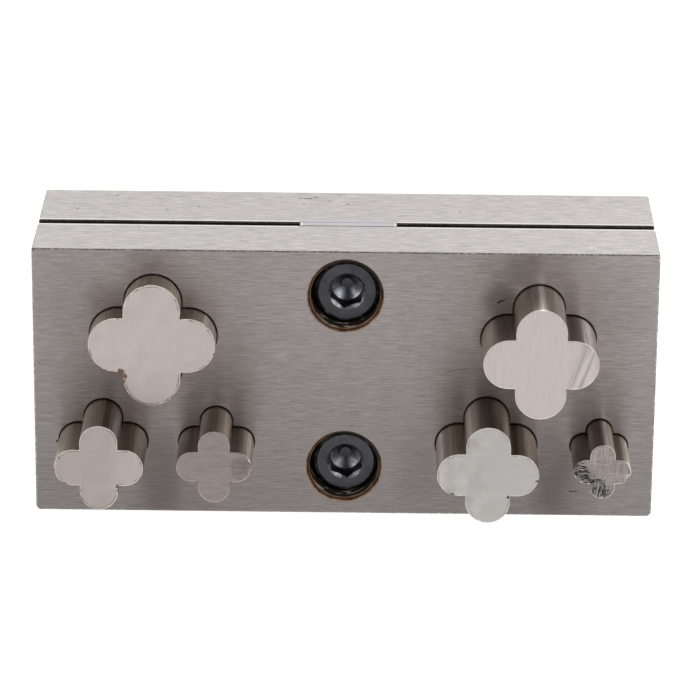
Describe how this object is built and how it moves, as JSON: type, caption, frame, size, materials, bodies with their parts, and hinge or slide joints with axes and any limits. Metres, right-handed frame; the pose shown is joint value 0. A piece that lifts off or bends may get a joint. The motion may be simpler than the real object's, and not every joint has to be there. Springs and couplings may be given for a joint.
{
  "type": "disc cutter",
  "caption": "Bench disc cutter: ground steel guide and die plates screwed together over a thin spacer strip, with loose quatrefoil punches standing in matching holes.",
  "frame": {"origin": "centre of the die plate's base, where the block rests on the bench", "axes": "+Z along the punches, up off the bench; +X along the block; +Y towards the row of the two largest punches"},
  "size_m": [0.0984, 0.0442, 0.0435],
  "materials": {
    "ground_steel": "surface ground, fine lengthwise marks",
    "punch_steel": "ground ends, oiled and darkened sides",
    "pin_steel": "ground and polished",
    "strip_metal": "sheared sheet, satin",
    "black_oxide": "black oxide, oiled"
  },
  "bodies": {
    "block": {"guide_plate": "ground_steel", "die_plate": "ground_steel", "spacer_strip": "strip_metal", "upper_cap_screw": "black_oxide", "lower_cap_screw": "black_oxide", "upper_dowel_pin": "pin_steel", "lower_dowel_pin": "pin_steel"},
    "punch_20": {"punch_20mm": "punch_steel"},
    "punch_18": {"punch_18mm": "punch_steel"},
    "punch_16": {"punch_16mm": "punch_steel"},
    "punch_14": {"punch_14mm": "punch_steel"},
    "punch_12": {"punch_12mm": "punch_steel"},
    "punch_9": {"punch_9mm": "punch_steel"}
  },
  "joints": [
    {"name": "punch_20_slide", "type": "slide", "parent": "block", "child": "punch_20", "axis": [0, 0, 1], "range_m": [-0.0003, 0.0319]},
    {"name": "punch_18_slide", "type": "slide", "parent": "block", "child": "punch_18", "axis": [0, 0, 1], "range_m": [-0.0072, 0.025]},
    {"name": "punch_16_slide", "type": "slide", "parent": "block", "child": "punch_16", "axis": [0, 0, 1], "range_m": [-0.0085, 0.0237]},
    {"name": "punch_14_slide", "type": "slide", "parent": "block", "child": "punch_14", "axis": [0, 0, 1], "range_m": [-0.0072, 0.025]},
    {"name": "punch_12_slide", "type": "slide", "parent": "block", "child": "punch_12", "axis": [0, 0, 1], "range_m": [-0.0063, 0.0259]},
    {"name": "punch_9_slide", "type": "slide", "parent": "block", "child": "punch_9", "axis": [0, 0, 1], "range_m": [-0.0065, 0.0257]}
  ]
}
